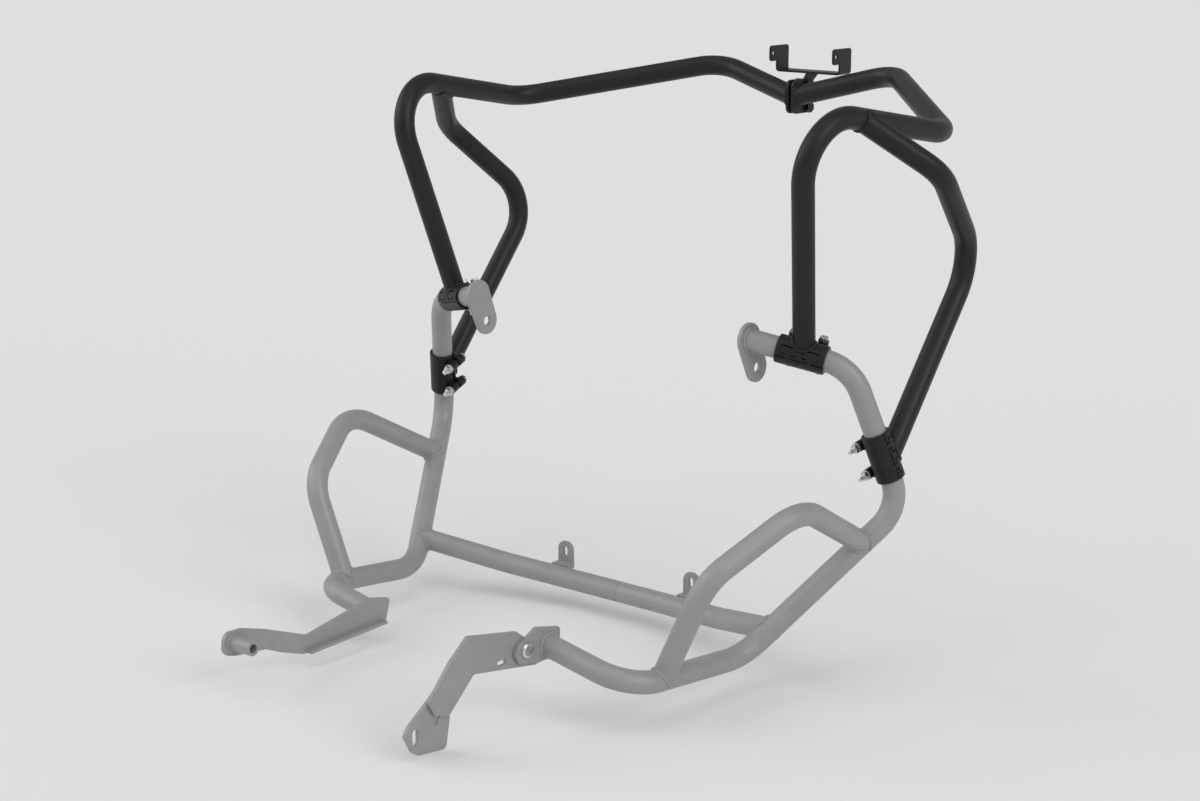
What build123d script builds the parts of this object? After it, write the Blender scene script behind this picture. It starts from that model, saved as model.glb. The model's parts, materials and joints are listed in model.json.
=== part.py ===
from math import cos, radians
import os

from build123d import *

# Motorcycle crash bars: black upper bars clamped to grey lower bars.
# Millimetres. X to the rider's right, Y forward, Z up.
# The origin is on the centre plane, on the axis of the two upper frame bolts.

# Tubes
tube_diameter = 27.0
tube_wall = 2.0
bend_radius = 60.0
stub_bend = 55.0
tight_bend = 50.0
rear_bend_left = 38.0
cross_bend = 110.0
tube_radius = tube_diameter / 2

# Gap left between coped or butted steel, which the weld bridges
weld_gap = 0.05
# How far a tube runs past a plate before it is trimmed to the plate
trim_run = 12.0
# How far the cutting cylinder of a coped end reaches to each side
cope_reach = 60.0

# Upper bar, right side, from the middle of the crown down to the clamp
crown_middle = Vector(0, 374.5, 278)
crown_corner = Vector(142.5, 400, 314.5)
front_corner = Vector(344, 204.5, 269)
rear_corner = Vector(327.5, -68, 317)
# The upper bar meets its clamp a little outside the clamped tube's axis
upper_end_shift = Vector(2, 1, 0)
# Brace from the upper bar to the lower clamp
brace_share = 0.612
brace_outer = Vector(396.5, 114, 233)
brace_front = Vector(362.5, 246, 118.5)
# The brace meets its clamp a little ahead of the clamped tube's axis
brace_end_shift = Vector(2.5, 9, 0)

# Upper frame plates
plate_x = 217.0
plate_thickness = 5.0
plate_hole = 12.5
plate_low_radius = 18.0
plate_top_radius = 20.0
plate_top_y = -15.0
plate_top_z = 36.0

# Lower main tube, right side, from the frame plate to its first low corner
stub_start = Vector(plate_x, plate_top_y, plate_top_z)
stub_corner = Vector(334, 32, 10)
side_corner = Vector(377, 80.3, -160)
low_corner = Vector(271.5, -88.5, -326)
# The two rear corners and ends differ, since the frame is not the same on both sides
rear_corner_right = Vector(270, -292, -308.5)
rear_end_right = Vector(150, -297, -283)
rear_corner_left = Vector(-268, -256, -309)
rear_end_left = Vector(-174, -261, -324)

# Loop behind the lower main tube
loop_top_share_right = 0.245
loop_top_share_left = 0.283
loop_top_right = Vector(369, -112, -122)
loop_top_left = Vector(-369, -112, -127)
loop_rear_right = Vector(321.5, -223.5, -191)
loop_rear_left = Vector(-321.5, -219, -191)
loop_foot_share_right = 0.735
loop_foot_share_left = 0.772

# Cross tube in two halves over an inner sleeve
cross_middle = Vector(0, 15, -330.5)
cross_first = Vector(60, 15, -330.5)
cross_second = Vector(177, -12, -319.5)
cross_end_share = 0.819
sleeve_length = 70.0
sleeve_wall = 2.5
sleeve_fit = 0.15

# Clamps, in their own frame: Z along the clamped tube, Y to the welded tube, X to the bolts
upper_clamp_share = 0.53
# The upper clamp tips backwards, as the tube welded on it does
upper_clamp_up = Vector(0, -0.2, 1)
lower_clamp_share = 0.63
clamp_length = 60.0
clamp_wall = 3.9
clamp_fit = 0.1
clamp_gap = 5.0
clamp_edge = 0.8
bolt_offset = 21.0
bolt_spacing = 36.0
boss_diameter = 13.0
boss_height = 15.0
web_height = 9.0
web_start = 8.0
tab_spacing = 27.0
tab_head_width = 17.0
tab_head_height = 7.5
tab_stem_width = 5.4
tab_stem_height = 6.0
seam_base = -3.0
seam_gap = 1.2

# M6 clamp fasteners
m6_diameter = 6.0
m6_hole = 6.6
m6_head_flats = 10.0
m6_head_height = 4.0
m6_nut_height = 5.0
m6_washer_diameter = 12.0
m6_washer_height = 1.6
m6_stick_out = 8.0
nut_fit = 0.2
thread_chamfer = 0.8
hex_chamfer = 0.6

# M8 fasteners of the crown and of the right rear arm
m8_diameter = 8.0
m8_hole = 8.6
m8_head_flats = 13.0
m8_head_height = 5.3
m8_nut_height = 6.5
m8_stick_out = 4.0
button_diameter = 18.0
button_height = 4.6
button_round = 2.8
button_socket_flats = 5.0
button_socket_depth = 2.6

# Crown flanges, with the tongue of the top bracket between them
flange_width = 44.0
flange_height = 45.0
flange_thickness = 5.0
flange_corner = 9.0
flange_ahead = 11.5
flange_y = crown_middle.Y + flange_ahead
flange_z = crown_middle.Z
tongue_thickness = 3.0
tongue_gap = 0.2
crown_bolt_ahead = 11.5
crown_bolt_y = flange_y + crown_bolt_ahead
crown_bolt_spread = 15.0

# Top bracket
sheet = 3.0
strip_length = 106.0
strip_width = 26.5
strip_ahead = 18.0
strip_rise = 29.0
strip_rear = flange_y + strip_ahead
strip_front = strip_rear + strip_width
strip_base = flange_z + strip_rise
ear_height = 35.5
ear_overhang = 15.5
ear_notch_height = 14.5
ear_top = strip_base + ear_height
ear_rear = strip_rear - ear_overhang
ear_notch = strip_base + ear_notch_height
ear_corner = 4.0
fold_radius = 4.0
ear_hole = 5.5
ear_hole_inset = 7.5
ear_hole_height = 25.0
ear_hole_y = ear_rear + ear_hole_inset
ear_hole_z = strip_base + ear_hole_height
tongue_inset = 1.0
tongue_shoulder_drop = 17.0
tongue_rear = flange_y + tongue_inset
tongue_front = flange_y + flange_width / 2
tongue_foot = flange_z - flange_height / 2 + tongue_inset
tongue_shoulder = strip_base - tongue_shoulder_drop

# Tabs on the cross tube
lug_x = 105.0
lug_width = 25.0
lug_round = 11.5
lug_thickness = 4.0
lug_front = 29.0
lug_top = -285.0
lug_base = -320.0
lug_foot_rear = 12.0
lug_foot_height = 7.0
lug_slot_z = -298.5
lug_slot_width = 6.5
lug_slot_length = 13.0

# Right rear arm: a bracket on the tube end, a bolted arm and its welded end plate
arm_inner_x = 143.0
arm_thickness = 5.0
arm_corner = 5.0
arm_outline = [
    (-300, -264), (-344, -256), (-423, -241), (-451, -263), (-475, -289), (-487, -299),
    (-476, -318), (-454, -323), (-415, -287), (-310, -304),
]
arm_cutout = (-370, -286)
arm_cutout_length = 14.0
arm_cutout_height = 6.0
bracket_outline = [
    (-277, -266), (-317, -257), (-333, -265), (-346, -269), (-354, -280), (-346, -293),
    (-315, -300), (-279, -297),
]
arm_bolt = (-335, -279)
end_outline = [
    (-457, -304), (-480, -300), (-512, -322), (-518, -331), (-507, -352), (-498, -358),
    (-455, -363), (-448, -326),
]
end_corner = 6.0
end_slot = (-502, -336)
end_slot_width = 9.0
end_slot_length = 19.0
end_groove = (-466, -320)
end_groove_width = 5.0
end_groove_length = 24.0
end_groove_turn = 60.0
end_groove_depth = 1.5

# Left rear arm: one plate with a lip, and a spacer tube
left_arm_x = -178.0
left_arm_thickness = 5.0
left_arm_outline = [
    (-230, -313), (-262, -306), (-369, -326), (-433, -302), (-470, -291), (-498, -290),
    (-501, -317), (-480, -322), (-436, -326), (-410, -337), (-377, -348), (-238, -342),
]
left_arm_corner = 5.0
left_arm_end_round = 11.0
left_lip_front = (-244, -342)
left_lip_rear = (-372, -347.6)
left_lip_width = 9.0
left_lip_thickness = 4.0
spacer_y = -484.0
spacer_z = -304.5
spacer_diameter = 18.0
spacer_bore = 10.5
spacer_length = 34.0


def along(start, end, share):
    return start + (end - start) * share


def write(part, name):
    part.label = name
    export_step(part, "parts/" + name + ".step")


def write_pair(right, name):
    write(right, name + "_right")
    with BuildPart() as left:
        add(mirror(right, about=Plane.YZ))
    write(left.part, name + "_left")


def bar_along(points, radii, radius, bore=0):
    with BuildPart() as bar:
        with BuildLine() as path:
            FilletPolyline(*points, radius=radii)
        with BuildSketch(Plane(path.line @ 0, z_dir=path.line % 0)):
            Circle(radius)
            if bore:
                Circle(bore, mode=Mode.SUBTRACT)
        sweep(path=path.line)
    return bar.part


def tube_along(points, radii):
    return bar_along(points, radii, tube_radius, tube_radius - tube_wall)


def cut_cylinder(centre, direction, radius):
    with BuildPart() as cutter:
        with BuildSketch(Plane(centre, z_dir=direction)):
            Circle(radius)
        extrude(amount=cope_reach, both=True)
    return cutter.part


def largest(part):
    with BuildPart() as kept:
        add(part.solids().sort_by(SortBy.VOLUME)[-1])
    return kept.part


# A hexagon with its corners turned off: both ends for a nut, the top end for a bolt head
def hex_piece(flats, height, bore=0):
    with BuildPart() as blank:
        with BuildSketch():
            Circle(flats / 2 / cos(radians(30)))
        extrude(amount=height)
        ends = blank.edges().filter_by(GeomType.CIRCLE).sort_by(Axis.Z)
        chamfer(ends if bore else ends[-1], hex_chamfer)
    with BuildPart() as piece:
        with BuildSketch():
            RegularPolygon(flats / 2, 6, major_radius=False)
            if bore:
                Circle(bore, mode=Mode.SUBTRACT)
        extrude(amount=height)
        add(blank.part, mode=Mode.INTERSECT)
    return piece.part


def hex_bolt(flats, head_height, diameter, length):
    with BuildPart() as bolt:
        add(hex_piece(flats, head_height))
        with BuildSketch():
            Circle(diameter / 2)
        extrude(amount=-length)
        chamfer(bolt.edges().filter_by(GeomType.CIRCLE).sort_by(Axis.Z)[0], thread_chamfer)
    return bolt.part


def place_all(piece, planes):
    with BuildPart() as placed:
        with Locations(*planes):
            add(piece)
    return placed.part


os.makedirs("parts", exist_ok=True)

# Clamp frames on the right side
stub_line = (stub_corner - stub_start).normalized()
side_line = (side_corner - stub_corner).normalized()
upper_clamp_centre = along(stub_start, stub_corner, upper_clamp_share)
lower_clamp_centre = along(stub_corner, side_corner, lower_clamp_share)
clamp_radius = tube_radius + clamp_wall


def clamp_plane(centre, axis, welded_from):
    reach = welded_from - centre
    weld_side = reach - axis * reach.dot(axis)
    return Plane(centre, x_dir=weld_side.cross(axis), z_dir=axis)


# The upper clamp stands upright; the lower one faces its brace
upper_clamp = clamp_plane(upper_clamp_centre, stub_line, upper_clamp_centre + upper_clamp_up)
lower_clamp = clamp_plane(lower_clamp_centre, side_line, brace_front)

# Upper bar: trimmed to its flange, coped to the upper clamp
flange_face = tongue_thickness / 2 + tongue_gap + flange_thickness
upper_end = upper_clamp_centre + upper_end_shift
upper_points = [crown_middle, crown_corner, front_corner, rear_corner, upper_end]
with BuildPart() as upper_bar:
    add(tube_along(upper_points, [bend_radius, bend_radius, bend_radius]))
    split(bisect_by=Plane.YZ.offset(flange_face + weld_gap), keep=Keep.TOP)
    add(cut_cylinder(upper_clamp_centre, stub_line, clamp_radius + weld_gap), mode=Mode.SUBTRACT)
write_pair(largest(upper_bar.part), "upper_bar")

# Brace: coped to the upper bar at one end and to the lower clamp at the other
brace_start = along(front_corner, rear_corner, brace_share)
top_line = (rear_corner - front_corner).normalized()
brace_end = lower_clamp_centre + brace_end_shift
brace_points = [brace_start, brace_outer, brace_front, brace_end]
with BuildPart() as brace:
    add(tube_along(brace_points, [bend_radius, bend_radius]))
    add(cut_cylinder(brace_start, top_line, tube_radius + weld_gap), mode=Mode.SUBTRACT)
    add(cut_cylinder(lower_clamp_centre, side_line, clamp_radius + weld_gap), mode=Mode.SUBTRACT)
write_pair(largest(brace.part), "upper_brace")

# Crown flanges
crown_bolt_heights = [flange_z - crown_bolt_spread, flange_z + crown_bolt_spread]
with BuildPart() as flange:
    with BuildSketch(Plane.YZ.offset(flange_face - flange_thickness)):
        with Locations((flange_y, flange_z)):
            RectangleRounded(flange_width, flange_height, flange_corner)
        for height in crown_bolt_heights:
            with Locations((crown_bolt_y, height)):
                Circle(m8_hole / 2, mode=Mode.SUBTRACT)
    extrude(amount=flange_thickness)
write_pair(flange.part, "crown_flange")

# Top bracket: a folded channel, an ear on each leg and the tongue between the flanges
ear_x = (strip_length - sheet) / 2
leg_top = ear_notch + ear_corner
strip_middle = strip_base + sheet / 2
with BuildPart() as bracket:
    with BuildSketch(Plane.XZ.offset(-strip_front)):
        with BuildLine():
            FilletPolyline(
                (-ear_x, leg_top),
                (-ear_x, strip_middle),
                (ear_x, strip_middle),
                (ear_x, leg_top),
                radius=fold_radius,
            )
        trace(line_width=sheet)
    extrude(amount=strip_front - strip_rear)
    for side in (-1, 1):
        with BuildSketch(Plane.YZ.offset(side * ear_x)) as ear:
            with Locations(((ear_rear + strip_front) / 2, (ear_notch + ear_top) / 2)):
                Rectangle(strip_front - ear_rear, ear_top - ear_notch)
            ear_columns = ear.vertices().group_by(Axis.X)
            fillet(ear_columns[0] + ear_columns[-1].sort_by(Axis.Y)[-1:], ear_corner)
            with Locations((ear_hole_y, ear_hole_z)):
                Circle(ear_hole / 2, mode=Mode.SUBTRACT)
        extrude(amount=sheet / 2, both=True)
    with BuildSketch(Plane.YZ):
        with BuildLine():
            Polyline(
                (strip_rear, strip_base + sheet),
                (strip_front, strip_base + sheet),
                (strip_front, strip_base),
                (tongue_front, tongue_shoulder),
                (tongue_front, tongue_foot),
                (tongue_rear, tongue_foot),
                (tongue_rear, tongue_shoulder),
                close=True,
            )
        make_face()
        for height in crown_bolt_heights:
            with Locations((crown_bolt_y, height)):
                Circle(m8_hole / 2, mode=Mode.SUBTRACT)
    extrude(amount=tongue_thickness / 2, both=True)
write(bracket.part, "top_bracket")

# Crown bolts from the right, nuts on the left
crown_bolt_length = 2 * flange_face + m8_nut_height + m8_stick_out
crown_bolt = hex_bolt(m8_head_flats, m8_head_height, m8_diameter, crown_bolt_length)
crown_nut = hex_piece(m8_head_flats, m8_nut_height, m8_diameter / 2 + nut_fit)
crown_heads = [Plane((flange_face, crown_bolt_y, height), z_dir=(1, 0, 0)) for height in crown_bolt_heights]
crown_backs = [Plane((-flange_face, crown_bolt_y, height), z_dir=(-1, 0, 0)) for height in crown_bolt_heights]
write(place_all(crown_bolt, crown_heads), "crown_bolts")
write(place_all(crown_nut, crown_backs), "crown_nuts")

# Clamp halves in their own frame
seam_plane = Plane(origin=(0, 0, 0), x_dir=(0, 0, 1), z_dir=(-1, 0, 0))
clamp_half = clamp_length / 2


def seam_cutter(side):
    reach = 2 * clamp_radius
    grow = seam_gap if side > 0 else 0
    with BuildPart() as cutter:
        with BuildSketch(seam_plane):
            with Locations((0, seam_base + grow - side * reach / 2)):
                Rectangle(2 * clamp_length, reach)
            for place in (-tab_spacing / 2, tab_spacing / 2):
                with Locations((place, seam_base + tab_stem_height / 2)):
                    Rectangle(
                        tab_stem_width + 2 * grow,
                        tab_stem_height + 2 * grow,
                        mode=Mode.ADD if side > 0 else Mode.SUBTRACT,
                    )
                with Locations((place, seam_base + tab_stem_height + tab_head_height / 2)):
                    Rectangle(
                        tab_head_width + 2 * grow,
                        tab_head_height + 2 * grow,
                        mode=Mode.ADD if side > 0 else Mode.SUBTRACT,
                    )
        extrude(amount=reach)
    return cutter.part


def gap_cutter(side):
    reach = 2 * clamp_radius
    with BuildPart() as cutter:
        with Locations((reach / 2, side * (clamp_gap / 2 - reach / 2), 0)):
            Box(reach, reach, 2 * clamp_length)
    return cutter.part


def clamp_body(side):
    with BuildPart() as body:
        with BuildSketch():
            Circle(clamp_radius)
        extrude(amount=clamp_half, both=True)
        chamfer(body.edges().filter_by(GeomType.CIRCLE), clamp_edge)
        add(seam_cutter(side), mode=Mode.SUBTRACT)
        add(gap_cutter(side), mode=Mode.SUBTRACT)
        for place in (-bolt_spacing / 2, bolt_spacing / 2):
            boss_seat = (bolt_offset, side * clamp_gap / 2, place)
            boss_plane = Plane(boss_seat, x_dir=(1, 0, 0), z_dir=(0, side, 0))
            with BuildSketch(boss_plane):
                Circle(boss_diameter / 2)
            extrude(amount=boss_height - clamp_gap / 2)
            with BuildSketch(boss_plane):
                with Locations(((web_start - bolt_offset) / 2, 0)):
                    Rectangle(bolt_offset - web_start, boss_diameter)
            extrude(amount=web_height - clamp_gap / 2)
            with BuildSketch(boss_plane):
                Circle(m6_hole / 2)
            extrude(amount=boss_height, mode=Mode.SUBTRACT)
        with BuildSketch():
            Circle(tube_radius + clamp_fit)
        extrude(amount=clamp_length, both=True, mode=Mode.SUBTRACT)
    return body.part


saddle = clamp_body(1)
cap = clamp_body(-1)
nut_seat = -boss_height - m6_washer_height
clamp_bolt_length = boss_height - nut_seat + m6_nut_height + m6_stick_out
clamp_bolt = hex_bolt(m6_head_flats, m6_head_height, m6_diameter, clamp_bolt_length)
clamp_nut = hex_piece(m6_head_flats, m6_nut_height, m6_diameter / 2 + nut_fit)
with BuildPart() as clamp_washer:
    with BuildSketch():
        Circle(m6_washer_diameter / 2)
        Circle(m6_diameter / 2 + nut_fit, mode=Mode.SUBTRACT)
    extrude(amount=m6_washer_height)


def bolt_planes(height, direction):
    return [
        Plane((bolt_offset, height, place), x_dir=(1, 0, 0), z_dir=(0, direction, 0))
        for place in (-bolt_spacing / 2, bolt_spacing / 2)
    ]


clamp_pieces = [
    (saddle, "saddle"),
    (cap, "cap"),
    (place_all(clamp_bolt, bolt_planes(boss_height, 1)), "bolts"),
    (place_all(clamp_washer.part, bolt_planes(-boss_height, -1)), "washers"),
    (place_all(clamp_nut, bolt_planes(nut_seat, -1)), "nuts"),
]
for plane, place_name in ((upper_clamp, "upper_clamp"), (lower_clamp, "lower_clamp")):
    for piece, piece_name in clamp_pieces:
        write_pair(place_all(piece, [plane]), place_name + "_" + piece_name)

# Lower main tubes: trimmed to the frame plates and to the rear plates
plate_face = plate_x + plate_thickness
arm_face = arm_inner_x + 2 * arm_thickness


def across(point):
    return Vector(-point.X, point.Y, point.Z)


def run_past(start, end):
    return end + (end - start).normalized() * trim_run


def plate_trim(part, side):
    with BuildPart() as cutter:
        with Locations((side * (plate_face + weld_gap - cope_reach / 2), plate_top_y, plate_top_z)):
            Box(cope_reach, cope_reach, cope_reach)
    with BuildPart() as trimmed:
        add(part)
        add(cutter.part, mode=Mode.SUBTRACT)
    return trimmed.part


stub_run = run_past(stub_corner, stub_start)
front_points = [stub_run, stub_corner, side_corner, low_corner]
right_points = front_points + [rear_corner_right, run_past(rear_corner_right, rear_end_right)]
left_points = [across(point) for point in front_points]
left_points += [rear_corner_left, run_past(rear_corner_left, rear_end_left)]
right_radii = [stub_bend, tight_bend, bend_radius, tight_bend]
left_radii = [stub_bend, tight_bend, bend_radius, rear_bend_left]
with BuildPart() as main_right:
    add(tube_along(right_points, right_radii))
    split(bisect_by=Plane.YZ.offset(arm_face + weld_gap), keep=Keep.TOP)
with BuildPart() as main_left:
    add(tube_along(left_points, left_radii))
    split(bisect_by=Plane.YZ.offset(left_arm_x - weld_gap), keep=Keep.BOTTOM)
write(plate_trim(largest(main_right.part), 1), "lower_main_tube_right")
write(plate_trim(largest(main_left.part), -1), "lower_main_tube_left")


# Loops, coped to the main tube's own path at both ends
def loop_tube(points, main_points, main_radii):
    with BuildPart() as loop:
        add(tube_along(points, [bend_radius, bend_radius]))
        add(bar_along(main_points, main_radii, tube_radius + weld_gap), mode=Mode.SUBTRACT)
    return largest(loop.part)


loop_start_right = along(side_corner, low_corner, loop_top_share_right)
loop_start_left = across(along(side_corner, low_corner, loop_top_share_left))
loop_foot_right = along(low_corner, rear_corner_right, loop_foot_share_right)
loop_foot_left = along(across(low_corner), rear_corner_left, loop_foot_share_left)
right_loop_points = [loop_start_right, loop_top_right, loop_rear_right, loop_foot_right]
left_loop_points = [loop_start_left, loop_top_left, loop_rear_left, loop_foot_left]
write(loop_tube(right_loop_points, right_points, right_radii), "lower_loop_right")
write(loop_tube(left_loop_points, left_points, left_radii), "lower_loop_left")

# Cross tube halves and the sleeve inside them
fall_line = (low_corner - side_corner).normalized()
cross_end = along(side_corner, low_corner, cross_end_share)
with BuildPart() as cross:
    add(tube_along([cross_middle, cross_first, cross_second, cross_end], [cross_bend, cross_bend]))
    split(bisect_by=Plane.YZ.offset(weld_gap), keep=Keep.TOP)
    add(cut_cylinder(cross_end, fall_line, tube_radius + weld_gap), mode=Mode.SUBTRACT)
write_pair(largest(cross.part), "cross_tube")
sleeve_radius = tube_radius - tube_wall - sleeve_fit
with BuildPart() as sleeve:
    with BuildSketch(Plane(cross_middle, z_dir=(1, 0, 0))):
        Circle(sleeve_radius)
        Circle(sleeve_radius - sleeve_wall, mode=Mode.SUBTRACT)
    extrude(amount=sleeve_length / 2, both=True)
write(sleeve.part, "cross_tube_sleeve")

# Tabs on the cross tube
cross_line = (cross_second - cross_first).normalized()
lug_share = (lug_x - cross_first.X) / (cross_second.X - cross_first.X)
lug_seat = along(cross_first, cross_second, lug_share)
with BuildPart() as lug:
    with BuildSketch(Plane.XZ.offset(-lug_front)) as lug_face:
        with Locations((lug_x, (lug_base + lug_top) / 2)):
            Rectangle(lug_width, lug_top - lug_base)
        fillet(lug_face.vertices().group_by(Axis.Y)[-1], lug_round)
        with Locations((lug_x, lug_slot_z)):
            SlotOverall(lug_slot_length, lug_slot_width, rotation=90, mode=Mode.SUBTRACT)
    extrude(amount=lug_thickness)
    with Locations((lug_x, (lug_foot_rear + lug_front) / 2, lug_base + lug_foot_height / 2)):
        Box(lug_width, lug_front - lug_foot_rear, lug_foot_height)
    add(cut_cylinder(lug_seat, cross_line, tube_radius + weld_gap), mode=Mode.SUBTRACT)
write_pair(largest(lug.part), "cross_tube_tab")

# Upper frame plates
with BuildPart() as plate:
    with BuildSketch(Plane.YZ.offset(plate_x)):
        Circle(plate_low_radius)
        with Locations((plate_top_y, plate_top_z)):
            Circle(plate_top_radius)
        make_hull()
        Circle(plate_hole / 2, mode=Mode.SUBTRACT)
    extrude(amount=plate_thickness)
write_pair(plate.part, "frame_plate")

# Right rear arm
with BuildPart() as arm:
    with BuildSketch(Plane.YZ.offset(arm_inner_x)) as arm_face_sketch:
        with BuildLine():
            Polyline(*arm_outline, close=True)
        make_face()
        fillet(arm_face_sketch.vertices(), arm_corner)
        with Locations(arm_cutout):
            Rectangle(arm_cutout_length, arm_cutout_height, mode=Mode.SUBTRACT)
        with Locations(arm_bolt):
            Circle(m8_hole / 2, mode=Mode.SUBTRACT)
    extrude(amount=arm_thickness)
write(arm.part, "rear_arm_right")
with BuildPart() as rear_bracket:
    with BuildSketch(Plane.YZ.offset(arm_inner_x + arm_thickness)) as bracket_face:
        with BuildLine():
            Polyline(*bracket_outline, close=True)
        make_face()
        fillet(bracket_face.vertices(), arm_corner)
        with Locations(arm_bolt):
            Circle(m8_hole / 2, mode=Mode.SUBTRACT)
    extrude(amount=arm_thickness)
write(rear_bracket.part, "rear_bracket_right")
with BuildPart() as end_plate:
    with BuildSketch(Plane.YZ.offset(arm_inner_x - arm_thickness)) as end_face:
        with BuildLine():
            Polyline(*end_outline, close=True)
        make_face()
        fillet(end_face.vertices(), end_corner)
        with Locations(end_slot):
            SlotOverall(end_slot_length, end_slot_width, rotation=90, mode=Mode.SUBTRACT)
    extrude(amount=arm_thickness)
    with BuildSketch(Plane.YZ.offset(arm_inner_x)):
        with Locations(end_groove):
            SlotOverall(end_groove_length, end_groove_width, rotation=end_groove_turn)
    extrude(amount=-end_groove_depth, mode=Mode.SUBTRACT)
write(end_plate.part, "rear_arm_end_plate_right")
with BuildPart() as rear_bolt:
    with BuildSketch(Plane.YZ.offset(arm_face)):
        with Locations(arm_bolt):
            Circle(button_diameter / 2)
    extrude(amount=button_height)
    fillet(rear_bolt.edges().group_by(Axis.X)[-1], button_round)
    with BuildSketch(Plane.YZ.offset(arm_face + button_height)):
        with Locations(arm_bolt):
            RegularPolygon(button_socket_flats / 2, 6, major_radius=False)
    extrude(amount=-button_socket_depth, mode=Mode.SUBTRACT)
    with BuildSketch(Plane.YZ.offset(arm_face)):
        with Locations(arm_bolt):
            Circle(m8_diameter / 2)
    extrude(amount=-(2 * arm_thickness + m8_nut_height + m8_stick_out))
    chamfer(rear_bolt.edges().filter_by(GeomType.CIRCLE).group_by(Axis.X)[0], thread_chamfer)
write(rear_bolt.part, "rear_arm_bolt_right")
rear_nut = hex_piece(m8_head_flats, m8_nut_height, m8_diameter / 2 + nut_fit)
write(place_all(rear_nut, [Plane((arm_inner_x, *arm_bolt), z_dir=(-1, 0, 0))]), "rear_arm_nut_right")

# Left rear arm
with BuildPart() as left_arm:
    with BuildSketch(Plane.YZ.offset(left_arm_x)) as left_face:
        with BuildLine():
            Polyline(*left_arm_outline, close=True)
        make_face()
        fillet(left_face.vertices().sort_by(Axis.X)[2:], left_arm_corner)
        fillet(left_face.vertices().sort_by(Axis.X)[:2], left_arm_end_round)
        with Locations((spacer_y, spacer_z)):
            Circle(spacer_bore / 2, mode=Mode.SUBTRACT)
    extrude(amount=left_arm_thickness)
    with BuildSketch(Plane.YZ.offset(left_arm_x + left_arm_thickness)):
        with BuildLine():
            Polyline(
                left_lip_front,
                left_lip_rear,
                (left_lip_rear[0], left_lip_rear[1] + left_lip_thickness),
                (left_lip_front[0], left_lip_front[1] + left_lip_thickness),
                close=True,
            )
        make_face()
    extrude(amount=left_lip_width)
write(left_arm.part, "rear_arm_left")
with BuildPart() as spacer:
    with BuildSketch(Plane.YZ.offset(left_arm_x + left_arm_thickness)):
        with Locations((spacer_y, spacer_z)):
            Circle(spacer_diameter / 2)
            Circle(spacer_bore / 2, mode=Mode.SUBTRACT)
    extrude(amount=spacer_length)
write(spacer.part, "rear_spacer_left")
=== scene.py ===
import json
import math

import bmesh
import bpy
from mathutils import Matrix, Vector
from mathutils.bvhtree import BVHTree


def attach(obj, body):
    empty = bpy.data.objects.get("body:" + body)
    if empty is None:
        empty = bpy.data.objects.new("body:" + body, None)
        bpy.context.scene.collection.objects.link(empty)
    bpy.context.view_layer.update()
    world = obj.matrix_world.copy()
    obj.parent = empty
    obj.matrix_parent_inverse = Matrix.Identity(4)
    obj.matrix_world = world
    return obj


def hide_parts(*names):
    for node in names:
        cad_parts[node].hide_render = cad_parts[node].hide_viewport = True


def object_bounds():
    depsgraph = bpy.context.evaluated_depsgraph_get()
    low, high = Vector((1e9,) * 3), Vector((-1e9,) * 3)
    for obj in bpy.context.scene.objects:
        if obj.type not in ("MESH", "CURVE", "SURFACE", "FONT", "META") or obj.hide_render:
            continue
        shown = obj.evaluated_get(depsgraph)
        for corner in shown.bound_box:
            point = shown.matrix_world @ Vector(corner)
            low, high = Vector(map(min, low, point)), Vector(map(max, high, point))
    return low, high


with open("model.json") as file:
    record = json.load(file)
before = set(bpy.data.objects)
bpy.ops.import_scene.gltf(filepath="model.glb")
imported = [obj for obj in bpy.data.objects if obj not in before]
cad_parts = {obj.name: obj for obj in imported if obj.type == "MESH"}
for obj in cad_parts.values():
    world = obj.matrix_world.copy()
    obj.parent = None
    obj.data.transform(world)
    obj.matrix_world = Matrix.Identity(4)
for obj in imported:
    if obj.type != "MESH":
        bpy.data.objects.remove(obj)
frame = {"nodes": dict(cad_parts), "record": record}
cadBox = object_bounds()
print("frame loaded:", len(frame["nodes"]), "nodes")


def mm(x, y, z):
    return Vector((x, y, z)) / 1000  # drawing sizes are in millimetres, the scene in metres


def across(point):
    return Vector((-point.x, point.y, point.z))  # the same place on the other side


def hexColour(text):
    parts = [int(text[i:i + 2], 16) / 255 for i in (1, 3, 5)]
    return [c / 12.92 if c <= 0.04045 else ((c + 0.055) / 1.055) ** 2.4 for c in parts] + [1.0]


def newMaterial(name):
    material = bpy.data.materials.new(name)
    material.use_nodes = True
    return material, material.node_tree.nodes["Principled BSDF"]


def addNode(tree, kind, values=None, links=None, **settings):
    node = tree.nodes.new(kind)
    for name, value in settings.items():
        setattr(node, name, value)
    for name, value in (values or {}).items():
        node.inputs[name].default_value = value
    for name, source in (links or {}).items():
        tree.links.new(source, node.inputs[name])
    return node


def noisePattern(tree, sizeMm, detail, grain):
    place = addNode(tree, "ShaderNodeTexCoord")
    return addNode(tree, "ShaderNodeTexNoise", {"Scale": 1000 / sizeMm, "Detail": detail, "Roughness": grain},
                   {"Vector": place.outputs["Object"]})


def mottle(tree, shader, pattern, colours, look):
    # the pattern leads from the first colour to the second, and from smooth to rough
    first, second = [hexColour(c) for c in colours]
    colour = addNode(tree, "ShaderNodeMix", {"A": first, "B": second}, {"Factor": pattern.outputs["Fac"]},
                     data_type="RGBA")
    tree.links.new(colour.outputs["Result"], shader.inputs["Base Color"])
    rough = addNode(tree, "ShaderNodeMapRange", {"To Min": look["roughLow"], "To Max": look["roughHigh"]},
                    {"Value": pattern.outputs["Fac"]})
    tree.links.new(rough.outputs["Result"], shader.inputs["Roughness"])


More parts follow.
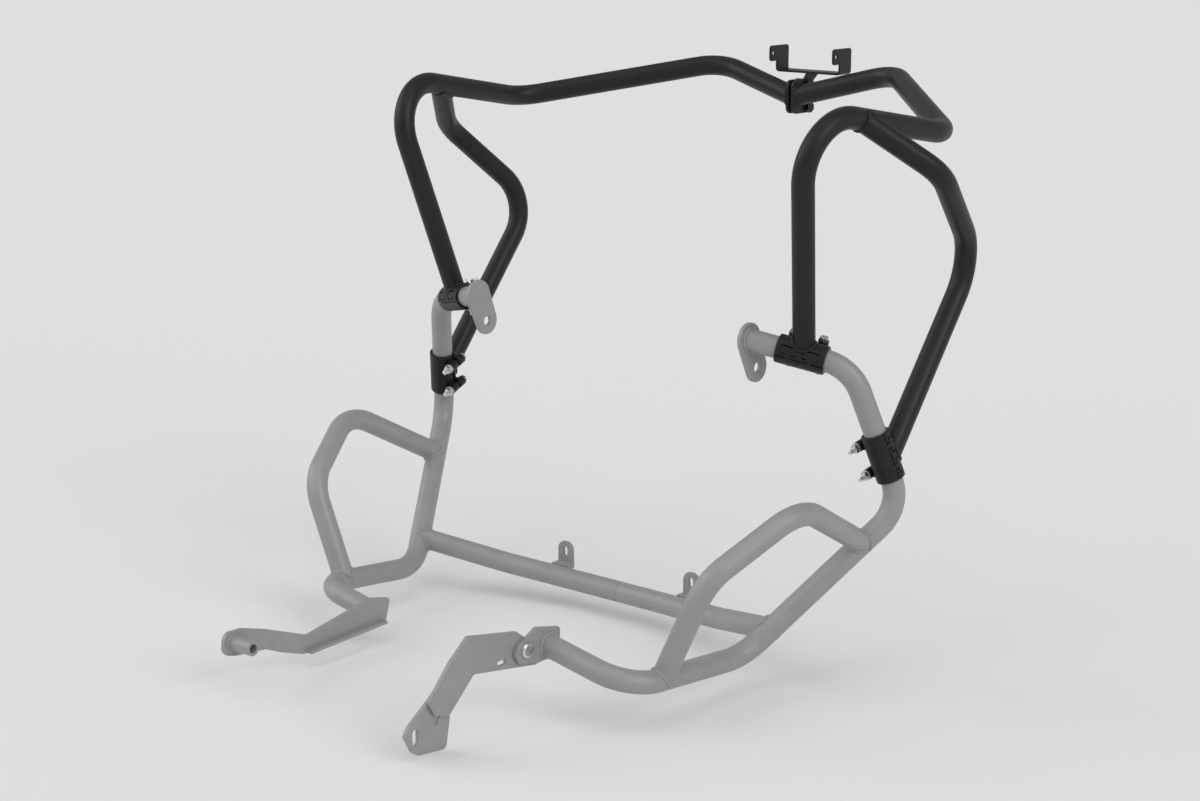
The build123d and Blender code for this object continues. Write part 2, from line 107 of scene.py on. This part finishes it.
# Polyester powder coat baked on steel: a matte skin with a fine pebbled flow, a soft broad
# highlight along each tube, and a slightly paler, drier patch here and there. The flow marks are
# about as wide as a fingertip. The pebble is drawn coarser than the real grain, so that it shows.
coatLook = {"ior": 1.5, "flowDetail": 3.0, "flowGrain": 0.55, "pebbleMm": 1.6, "pebbleDetail": 2.0,
            "pebbleGrain": 0.5, "bump": 0.35, "bumpDepth": 0.0002}
blackLook = {"deep": "#0D0E0F", "pale": "#161719", "flowMm": 18.0, "roughLow": 0.36, "roughHigh": 0.50,
             "gleam": 0.36}
greyLook = {"deep": "#8B8B8A", "pale": "#9A9A99", "flowMm": 22.0, "roughLow": 0.36, "roughHigh": 0.48,
            "gleam": 0.75}


def powderCoat(name, look):
    material, shader = newMaterial(name)
    tree = material.node_tree
    shader.inputs["IOR"].default_value = coatLook["ior"]
    shader.inputs["Specular IOR Level"].default_value = look["gleam"]
    flow = noisePattern(tree, look["flowMm"], coatLook["flowDetail"], coatLook["flowGrain"])
    mottle(tree, shader, flow, (look["deep"], look["pale"]), look)
    pebble = noisePattern(tree, coatLook["pebbleMm"], coatLook["pebbleDetail"], coatLook["pebbleGrain"])
    bump = addNode(tree, "ShaderNodeBump", {"Strength": coatLook["bump"], "Distance": coatLook["bumpDepth"]},
                   {"Height": pebble.outputs["Fac"]})
    tree.links.new(bump.outputs["Normal"], shader.inputs["Normal"])
    return material


# Zinc plating on turned steel: a bright, faintly blue metal, clouded in small patches. The black
# passivated kind on the crown bolts keeps the metal's glint at its edges but is nearly as dark as
# the coat.
cloudLook = {"sizeMm": 3.0, "detail": 4.0, "grain": 0.6}
zincLook = {"bright": "#EEF0F2", "dull": "#BFC3C6", "roughLow": 0.16, "roughHigh": 0.36}
blackZincLook = {"bright": "#3E4043", "dull": "#2A2B2E", "roughLow": 0.34, "roughHigh": 0.48}


def zincPlate(name, look):
    material, shader = newMaterial(name)
    tree = material.node_tree
    shader.inputs["Metallic"].default_value = 1.0
    cloud = noisePattern(tree, cloudLook["sizeMm"], cloudLook["detail"], cloudLook["grain"])
    mottle(tree, shader, cloud, (look["bright"], look["dull"]), look)
    return material


finishes = {
    "black_powder_coat": powderCoat("blackPowderCoat", blackLook),
    "grey_powder_coat": powderCoat("greyPowderCoat", greyLook),
    "zinc_plated_steel": zincPlate("zincPlatedSteel", zincLook),
    "black_zinc_steel": zincPlate("blackZincSteel", blackZincLook),
}
slotOfNode = {p["node"]: p["material_slot"] for p in frame["record"]["subparts"]}
for nodeName, nodeObject in frame["nodes"].items():
    nodeObject.data.materials.clear()
    nodeObject.data.materials.append(finishes[slotOfNode[nodeName]])
print("finishes on", len(slotOfNode), "nodes")


def keepPiece(name, mesh, slotName):
    piece = bpy.data.objects.new(name, mesh)
    bpy.context.scene.collection.objects.link(piece)
    mesh.materials.clear()
    mesh.materials.append(finishes[slotName])
    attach(piece, "root")
    return piece


# The coat builds up over the sharp edges of cut plate and of the cast clamps and rounds them, so each
# of these nodes is shown as a copy with its edges softened
edgeLook = {"segments": 2, "sharpFrom": 35.0, "flatWithin": 1.0, "shadeSharpFrom": 20.0, "merge": 0.00001}
plateLook = {"width": 0.0006, "flatWeight": 100}
clampLook = {"width": 0.00025, "radius": 0.0174, "within": 0.0001, "turn": 12.0}
jointLook = {"width": 0.0006, "merge": 0.0000005, "reach": 0.062, "within": 0.0002}
# the foot of the left arm's lip runs too close to the arm's lower edge for either to be softened
lipLook = {"width": 0.0005, "face": -0.173, "within": 0.0001, "rear": -0.3775, "front": -0.2395,
           "top": -0.335}
# the front end of the right arm slopes down behind the bracket, which leaves a notch between them
notchLook = {"rear": mm(0, -345, -255.8), "bottom": mm(0, -328, -268.7), "front": mm(0, -308, -262.5),
             "middle": 0.1455, "within": 0.00001}
plateNodes = ["top_bracket", "rear_arm_right", "rear_bracket_right", "rear_arm_end_plate_right",
              "rear_spacer_left"]
clampNodes = []
for word in ("right", "left"):
    plateNodes += [name + "_" + word for name in ("crown_flange", "frame_plate", "cross_tube_tab")]
    for place in ("upper", "lower"):
        clampNodes += [place + "_clamp_" + half + "_" + word for half in ("saddle", "cap")]


def atJoint(edge):
    return all(abs(v.co.x) < jointLook["within"] for v in edge.verts)


def offLip(edge):
    for corner in edge.verts:
        x, y, z = corner.co
        onFace = abs(x - lipLook["face"]) < lipLook["within"]
        if not (onFace and lipLook["rear"] < y < lipLook["front"] and z < lipLook["top"]):
            return True
    return False


def cutNotch(shape):
    bottom, within = notchLook["bottom"], notchLook["within"]
    sides = []
    for start, end in (("rear", "bottom"), ("bottom", "front")):
        outward = Vector((1, 0, 0)).cross(notchLook[end] - notchLook[start]).normalized()
        bmesh.ops.bisect_plane(shape, geom=[*shape.verts, *shape.edges, *shape.faces], dist=within,
                               plane_co=bottom, plane_no=outward)
        sides.append(outward)
    inside = [f for f in shape.faces
              if all((f.calc_center_median() - bottom).dot(n) > within for n in sides)]
    bmesh.ops.delete(shape, geom=inside, context="FACES")
    rim = {v for e in shape.edges if e.is_boundary for v in e.verts}
    for outward in sides:
        wall = [v for v in rim if abs((v.co - bottom).dot(outward)) < within]
        wall.sort(key=lambda v: v.co.y)
        near = [v for v in wall if v.co.x > notchLook["middle"]]
        far = [v for v in wall if v.co.x <= notchLook["middle"]]
        shape.faces.new([*near, *reversed(far)])
    bmesh.ops.recalc_face_normals(shape, faces=shape.faces)
    print("notch cut in the right arm")


def softEdged(nodeName, width, merge=edgeLook["merge"], reach=math.inf, chosen=None, cut=None):
    node = frame["nodes"][nodeName]
    shape = bmesh.new()
    shape.from_mesh(node.data)
    shape.transform(node.matrix_world)
    bmesh.ops.remove_doubles(shape, verts=shape.verts, dist=merge)
    # flat faces are made whole first, as far from the centre plane as reach says
    corners = [v for v in shape.verts if abs(v.co.x) < reach]
    edges = [e for e in shape.edges if all(abs(v.co.x) < reach for v in e.verts)]
    bmesh.ops.dissolve_limit(shape, angle_limit=math.radians(edgeLook["flatWithin"]), verts=corners,
                             edges=edges)
    if cut:
        cut(shape)
    sharpFrom = math.radians(edgeLook["sharpFrom"])
    sharp = [e for e in shape.edges if e.is_manifold and e.calc_face_angle() > sharpFrom]
    if chosen:
        sharp = [e for e in sharp if chosen(e)]
    bmesh.ops.bevel(shape, geom=sharp, offset=width, offset_type="OFFSET", segments=edgeLook["segments"],
                    profile=0.5, affect="EDGES", material=-1, clamp_overlap=False)
    bmesh.ops.triangulate(shape, faces=shape.faces)
    for face in shape.faces:
        face.smooth = True
    mesh = bpy.data.meshes.new(nodeName + "Edged")
    shape.to_mesh(mesh)
    shape.free()
    mesh.set_sharp_from_angle(angle=math.radians(edgeLook["shadeSharpFrom"]))
    piece = keepPiece(nodeName + "Edged", mesh, slotOfNode[nodeName])
    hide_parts(nodeName)
    return piece


def evenFlats(piece):
    # a flat face keeps its even shade up to the bend beside it
    shading = piece.modifiers.new("evenFlats", "WEIGHTED_NORMAL")
    shading.mode = "FACE_AREA"
    shading.weight = plateLook["flatWeight"]
    shading.keep_sharp = True


def roundShade(piece, middle, lean):
    # the outside of a clamp shades as the true cylinder that its narrow facets stand for
    mesh = piece.data
    lean = lean.normalized()
    directions = [Vector((0, 0, 0))] * len(mesh.loops)
    for face in mesh.polygons:
        arms = []
        for corner in face.vertices:
            arm = mesh.vertices[corner].co - middle
            arms.append(arm - lean * arm.dot(lean))
        onRound = all(abs(a.length - clampLook["radius"]) < clampLook["within"] for a in arms)
        if onRound and all(a.angle(face.normal) < math.radians(clampLook["turn"]) for a in arms):
            for corner, arm in zip(face.loop_indices, arms):
                directions[corner] = arm.normalized()
    mesh.normals_split_custom_set(directions)
    return sum(1 for d in directions if d.length > 0)


cuts = {"rear_arm_right": cutNotch}
for nodeName in plateNodes:
    evenFlats(softEdged(nodeName, plateLook["width"], cut=cuts.get(nodeName)))
evenFlats(softEdged("rear_arm_left", lipLook["width"], reach=0, chosen=offLip))
print("edges softened on", len(plateNodes) + 1, "plates")
# a fine line shows at mid length, where the two halves of the cross tube meet
for word in ("right", "left"):
    softEdged("cross_tube_" + word, jointLook["width"], jointLook["merge"], jointLook["reach"], atJoint)
print("joint line cut on the cross tube")

# Where the tubes run, as in the drawing of the part
route = {
    "crownMiddle": mm(0, 374.5, 278), "crownCorner": mm(142.5, 400, 314.5),
    "frontCorner": mm(344, 204.5, 269), "rearCorner": mm(327.5, -68, 317),
    "braceOuter": mm(396.5, 114, 233), "braceFront": mm(362.5, 246, 118.5),
    "stubStart": mm(217, -15, 36), "stubCorner": mm(334, 32, 10), "sideCorner": mm(377, 80.3, -160),
    "lowCorner": mm(271.5, -88.5, -326),
    "rearCornerRight": mm(270, -292, -308.5), "rearEndRight": mm(150, -297, -283),
    "rearCornerLeft": mm(-268, -256, -309), "rearEndLeft": mm(-174, -261, -324),
    "loopTopRight": mm(369, -112, -122), "loopTopLeft": mm(-369, -112, -127),
    "loopRearRight": mm(321.5, -223.5, -191), "loopRearLeft": mm(-321.5, -219, -191),
    "crossSecond": mm(177, -12, -319.5), "tubeRadius": 0.0135,
}
# how far along its run each clamp and each tube end sits, as a share of the run
share = {"upperClamp": 0.53, "lowerClamp": 0.63, "braceStart": 0.612, "crossEnd": 0.819,
         "loopStartRight": 0.245, "loopStartLeft": 0.283, "loopFootRight": 0.735, "loopFootLeft": 0.772}
# the tubes that stand on the clamps end a little off the clamps' middles
shift = {"upperEnd": mm(2, 1, 0), "braceEnd": mm(2.5, 9, 0)}
upperClamp = route["stubStart"].lerp(route["stubCorner"], share["upperClamp"])
lowerClamp = route["stubCorner"].lerp(route["sideCorner"], share["lowerClamp"])
upperEnd = upperClamp + shift["upperEnd"]
braceEnd = lowerClamp + shift["braceEnd"]
braceStart = route["frontCorner"].lerp(route["rearCorner"], share["braceStart"])
crossEnd = route["sideCorner"].lerp(route["lowCorner"], share["crossEnd"])
loopStartRight = route["sideCorner"].lerp(route["lowCorner"], share["loopStartRight"])
loopStartLeft = across(route["sideCorner"].lerp(route["lowCorner"], share["loopStartLeft"]))
loopFootRight = route["lowCorner"].lerp(route["rearCornerRight"], share["loopFootRight"])
loopFootLeft = across(route["lowCorner"]).lerp(route["rearCornerLeft"], share["loopFootLeft"])
stubLine = route["stubCorner"] - route["stubStart"]
sideLine = route["sideCorner"] - route["stubCorner"]
for nodeName in clampNodes:
    onStub = nodeName.startswith("upper")
    middle, lean = (upperClamp, stubLine) if onStub else (lowerClamp, sideLine)
    if nodeName.endswith("left"):
        middle, lean = across(middle), across(lean)
    clampPiece = softEdged(nodeName, clampLook["width"])
    print(nodeName, "edges softened,", roundShade(clampPiece, middle, lean), "corners shaded round")

# A hand-laid fillet weld: a low rope of overlapping drops where a tube or tab meets its seat
weldLook = {"beadRadius": 0.0025, "smallBeadRadius": 0.0019, "dropLength": 0.0034, "ripple": 0.11,
            "pointsPerDrop": 4, "sides": 2, "rays": 180, "rounding": 12, "rayStart": 0.045}


def seatSurface(nodeName):
    node = frame["nodes"][nodeName]
    corners = [node.matrix_world @ v.co for v in node.data.vertices]
    return BVHTree.FromPolygons(corners, [p.vertices[:] for p in node.data.polygons])


def evenPath(points):
    # the same closed line with points at even steps, a whole number of drops in all
    spans = [(points[(i + 1) % len(points)] - points[i]).length for i in range(len(points))]
    count = round(sum(spans) / weldLook["dropLength"]) * weldLook["pointsPerDrop"]
    step = sum(spans) / count
    even = []
    passed = 0.0
    for i, span in enumerate(spans):
        following = points[(i + 1) % len(points)]
        while len(even) < count and len(even) * step <= passed + span:
            even.append(points[i].lerp(following, (len(even) * step - passed) / span))
        passed += span
    return even


def ringPath(foot, lean, seatName, radius):
    # the saddle line: walk round the tube and drop each point on the seat along the tube
    seat = seatSurface(seatName)
    lean = lean.normalized()
    sideways = lean.orthogonal().normalized()
    upward = lean.cross(sideways)
    points = []
    for k in range(weldLook["rays"]):
        turn = 2 * math.pi * k / weldLook["rays"]
        rim = (sideways * math.cos(turn) + upward * math.sin(turn)) * radius
        start = foot + rim + lean * weldLook["rayStart"]
        hit = seat.ray_cast(start, -lean, 2 * weldLook["rayStart"])[0]
        if hit:
            points.append(hit)
    if len(points) < weldLook["rays"]:
        print("weld on", seatName, "misses", weldLook["rays"] - len(points), "points")
    # the welder rounds the tightest turns of the line
    count = len(points)
    for _ in range(weldLook["rounding"]):
        points = [(points[i - 1] + 2 * points[i] + points[(i + 1) % count]) / 4 for i in range(count)]
    return evenPath(points)


def weldBead(name, points, slotName, radius, closed):
    curve = bpy.data.curves.new(name, "CURVE")
    curve.dimensions = "3D"
    curve.bevel_depth = radius
    curve.bevel_resolution = weldLook["sides"]
    curve.use_fill_caps = not closed
    spline = curve.splines.new("POLY")
    spline.points.add(len(points) - 1)
    spline.use_cyclic_u = closed
    for k, point in enumerate(points):
        spline.points[k].co = (*point, 1)
        swell = math.cos(2 * math.pi * k / weldLook["pointsPerDrop"])
        spline.points[k].radius = 1 + weldLook["ripple"] * swell
    rope = bpy.data.objects.new(name + "Rope", curve)
    mesh = bpy.data.meshes.new_from_object(rope)
    mesh.name = name
    bpy.data.objects.remove(rope)
    mesh.polygons.foreach_set("use_smooth", [True] * len(mesh.polygons))
    return keepPiece(name, mesh, slotName)


black, grey = "black_powder_coat", "grey_powder_coat"
pairedJoints = [
    ("weldUpperBar", upperEnd, route["rearCorner"] - upperEnd, "upper_clamp_saddle", black),
    ("weldBraceTop", braceStart, route["braceOuter"] - braceStart, "upper_bar", black),
    ("weldBraceFoot", braceEnd, route["braceFront"] - braceEnd, "lower_clamp_saddle", black),
    ("weldCrossTube", crossEnd, route["crossSecond"] - crossEnd, "lower_main_tube", grey),
    ("weldCrown", route["crownMiddle"], route["crownCorner"] - route["crownMiddle"], "crown_flange", black),
    ("weldPlate", route["stubStart"], stubLine, "frame_plate", grey),
]
joints = []
for name, foot, lean, seatName, slotName in pairedJoints:
    joints.append((name + "Right", foot, lean, seatName + "_right", slotName))
    joints.append((name + "Left", across(foot), across(lean), seatName + "_left", slotName))
singleJoints = [
    ("weldLoopTopRight", loopStartRight, route["loopTopRight"], "lower_main_tube_right"),
    ("weldLoopTopLeft", loopStartLeft, route["loopTopLeft"], "lower_main_tube_left"),
    ("weldLoopFootRight", loopFootRight, route["loopRearRight"], "lower_main_tube_right"),
    ("weldLoopFootLeft", loopFootLeft, route["loopRearLeft"], "lower_main_tube_left"),
    ("weldRearRight", route["rearEndRight"], route["rearCornerRight"], "rear_bracket_right"),
    ("weldRearLeft", route["rearEndLeft"], route["rearCornerLeft"], "rear_arm_left"),
]
for name, foot, towards, seatName in singleJoints:
    joints.append((name, foot, towards - foot, seatName, grey))
beads = []
for name, foot, lean, seatName, slotName in joints:
    ring = ringPath(foot, lean, seatName, route["tubeRadius"])
    beads.append(weldBead(name, ring, slotName, weldLook["beadRadius"], True))
spacerLook = {"foot": mm(-173, -484, -304.5), "lean": Vector((1, 0, 0)), "radius": 0.009}
spacerRing = ringPath(spacerLook["foot"], spacerLook["lean"], "rear_arm_left", spacerLook["radius"])
beads.append(weldBead("weldSpacerLeft", spacerRing, grey, weldLook["smallBeadRadius"], True))

# Short beads along both faces of each tab on the cross tube
tabLook = {"x": 0.105, "halfThickness": 0.002, "rear": 0.0135, "front": 0.0275, "from": -0.29,
           "rayLength": 0.06}
tabLength = tabLook["front"] - tabLook["rear"]
tabSteps = round(tabLength / weldLook["dropLength"]) * weldLook["pointsPerDrop"]
for side, word in ((1, "Right"), (-1, "Left")):
    seat = seatSurface("cross_tube_" + word.lower())
    for face, faceWord in ((1, "Outer"), (-1, "Inner")):
        x = side * (tabLook["x"] + face * tabLook["halfThickness"])
        points = []
        for k in range(tabSteps + 1):
            start = Vector((x, tabLook["rear"] + tabLength * k / tabSteps, tabLook["from"]))
            hit = seat.ray_cast(start, Vector((0, 0, -1)), tabLook["rayLength"])[0]
            if hit:
                points.append(hit)
        beads.append(weldBead("weldTab" + word + faceWord, points, grey, weldLook["smallBeadRadius"], False))
print("weld beads laid:", len(beads))

# Rolled threads on the free ends of the clamp bolts, a little proud of the plain shank that they cover
threadLook = {"majorRadius": 0.00318, "rootRadius": 0.0028, "pitch": 0.0011, "ridgeShare": 0.42,
              "turns": 6.5, "stepsPerTurn": 18, "merge": 0.00001}
clampSizes = {"boltOffset": 0.021, "boltSpacing": 0.036, "nutEnd": -0.0216,
              "upperWeldFrom": Vector((0, -0.2, 1))}


def threadMesh(look):
    mesh = bmesh.new()
    half = look["pitch"] * look["ridgeShare"]
    profile = ((look["rootRadius"], 0, -half), (look["majorRadius"], 0, 0), (look["rootRadius"], 0, half))
    ridge = mesh.faces.new([mesh.verts.new(v) for v in profile])
    steps = round(look["turns"] * look["stepsPerTurn"])
    bmesh.ops.spin(mesh, geom=[ridge, *ridge.edges, *ridge.verts], cent=(0, 0, 0), axis=(0, 0, 1),
                   dvec=(0, 0, look["pitch"] / look["stepsPerTurn"]), angle=2 * math.pi * look["turns"],
                   steps=steps)
    bmesh.ops.remove_doubles(mesh, verts=mesh.verts, dist=look["merge"])
    return mesh


def clampFrame(centre, axis, weldedFrom):
    axis = axis.normalized()
    reach = weldedFrom - centre
    weldSide = (reach - axis * reach.dot(axis)).normalized()
    boltSide = weldSide.cross(axis)
    turn = Matrix((boltSide, weldSide, axis)).transposed().to_4x4()
    return Matrix.Translation(centre) @ turn


def boltThreads(name, clampMatrix, mirrored):
    mesh = bmesh.new()
    alongBolt = Matrix.Rotation(math.pi / 2, 4, "X")
    for place in (-0.5, 0.5):
        one = threadMesh(threadLook)
        spot = Matrix.Translation((clampSizes["boltOffset"], clampSizes["nutEnd"],
                                   place * clampSizes["boltSpacing"]))
        bmesh.ops.transform(one, matrix=clampMatrix @ spot @ alongBolt, verts=one.verts)
        if mirrored:
            bmesh.ops.transform(one, matrix=Matrix.Scale(-1, 4, (1, 0, 0)), verts=one.verts)
        bmesh.ops.recalc_face_normals(one, faces=one.faces)
        copy = bpy.data.meshes.new("threadCopy")
        one.to_mesh(copy)
        one.free()
        mesh.from_mesh(copy)
        bpy.data.meshes.remove(copy)
    done = bpy.data.meshes.new(name)
    mesh.to_mesh(done)
    mesh.free()
    keepPiece(name, done, "zinc_plated_steel")


upperFrame = clampFrame(upperClamp, stubLine, upperClamp + clampSizes["upperWeldFrom"])
lowerFrame = clampFrame(lowerClamp, sideLine, route["braceFront"])
for label, matrix in (("Upper", upperFrame), ("Lower", lowerFrame)):
    boltThreads("thread" + label + "Right", matrix, False)
    boltThreads("thread" + label + "Left", matrix, True)
print("bolt threads cut")

# Plain pale floor just under the lowest tube
floorLook = {"colour": "#F0F0F0", "roughness": 0.9, "gleam": 0.0, "drop": 0.004, "size": 80.0}
floorMesh = bpy.data.meshes.new("floor")
floorShape = bmesh.new()
bmesh.ops.create_grid(floorShape, x_segments=1, y_segments=1, size=floorLook["size"] / 2)
bmesh.ops.translate(floorShape, vec=(0, 0, cadBox[0][2] - floorLook["drop"]), verts=floorShape.verts)
floorShape.to_mesh(floorMesh)
floorShape.free()
floor = bpy.data.objects.new("floor", floorMesh)
bpy.context.scene.collection.objects.link(floor)
floorMaterial, floorShader = newMaterial("paleFloor")
floorShader.inputs["Base Color"].default_value = hexColour(floorLook["colour"])
floorShader.inputs["Roughness"].default_value = floorLook["roughness"]
floorShader.inputs["Specular IOR Level"].default_value = floorLook["gleam"]
floorMesh.materials.append(floorMaterial)

# Soft studio light: a pale room and four very broad lamps, so far off that the floor is lit evenly
lightLook = {
    "room": "#FFFFFF", "wallStrength": 0.737, "ceilingStrength": 0.40, "ceilingFrom": 0.35,
    "lamps": [
        {"name": "topLamp", "from": (0.2, -0.3, 1.0), "spread": 60.0, "strength": 0.50},
        {"name": "leftLamp", "from": (-1.0, -0.5, 0.6), "spread": 40.0, "strength": 0.60},
        {"name": "rightLamp", "from": (1.0, -0.05, 0.6), "spread": 35.0, "strength": 0.80},
        {"name": "frontLamp", "from": (-0.35, -1.0, 0.7), "spread": 40.0, "strength": 0.35},
    ],
}
world = bpy.data.worlds.new("studioRoom")
world.use_nodes = True
room = world.node_tree
backdrop = room.nodes["Background"]
backdrop.inputs["Color"].default_value = hexColour(lightLook["room"])
# the walls glow as brightly as the floor, so that no horizon shows, and the room darkens towards
# the ceiling
direction = addNode(room, "ShaderNodeTexCoord")
height = addNode(room, "ShaderNodeSeparateXYZ", None, {"Vector": direction.outputs["Generated"]})
glow = addNode(room, "ShaderNodeMapRange",
               {"From Min": 0.0, "From Max": lightLook["ceilingFrom"], "To Min": lightLook["wallStrength"],
                "To Max": lightLook["ceilingStrength"]}, {"Value": height.outputs["Z"]})
room.links.new(glow.outputs["Result"], backdrop.inputs["Strength"])
bpy.context.scene.world = world
for look in lightLook["lamps"]:
    light = bpy.data.lights.new(look["name"], "SUN")
    light.energy = look["strength"]
    light.angle = math.radians(look["spread"])
    lamp = bpy.data.objects.new(look["name"], light)
    lamp.rotation_euler = Vector(look["from"]).to_track_quat("Z", "Y").to_euler()
    bpy.context.scene.collection.objects.link(lamp)
bpy.context.scene.view_settings.view_transform = "Standard"

# Camera behind and to the right, as in the photograph
cameraLook = {"place": (1.770, -2.106, 0.573), "azimuth": 40.42, "elevation": 13.24, "focalPixels": 2250.0,
              "pictureWidth": 1200.0, "sensor": 36.0, "farthest": 200.0}
camera = bpy.data.objects.new("camera", bpy.data.cameras.new("camera"))
bpy.context.scene.collection.objects.link(camera)
camera.data.sensor_fit = "HORIZONTAL"
camera.data.sensor_width = cameraLook["sensor"]
camera.data.lens = cameraLook["sensor"] * cameraLook["focalPixels"] / cameraLook["pictureWidth"]
camera.data.clip_end = cameraLook["farthest"]
camera.location = cameraLook["place"]
camera.rotation_euler = (math.radians(90 - cameraLook["elevation"]), 0, math.radians(cameraLook["azimuth"]))
bpy.context.scene.camera = camera
print("stage, light and camera set")
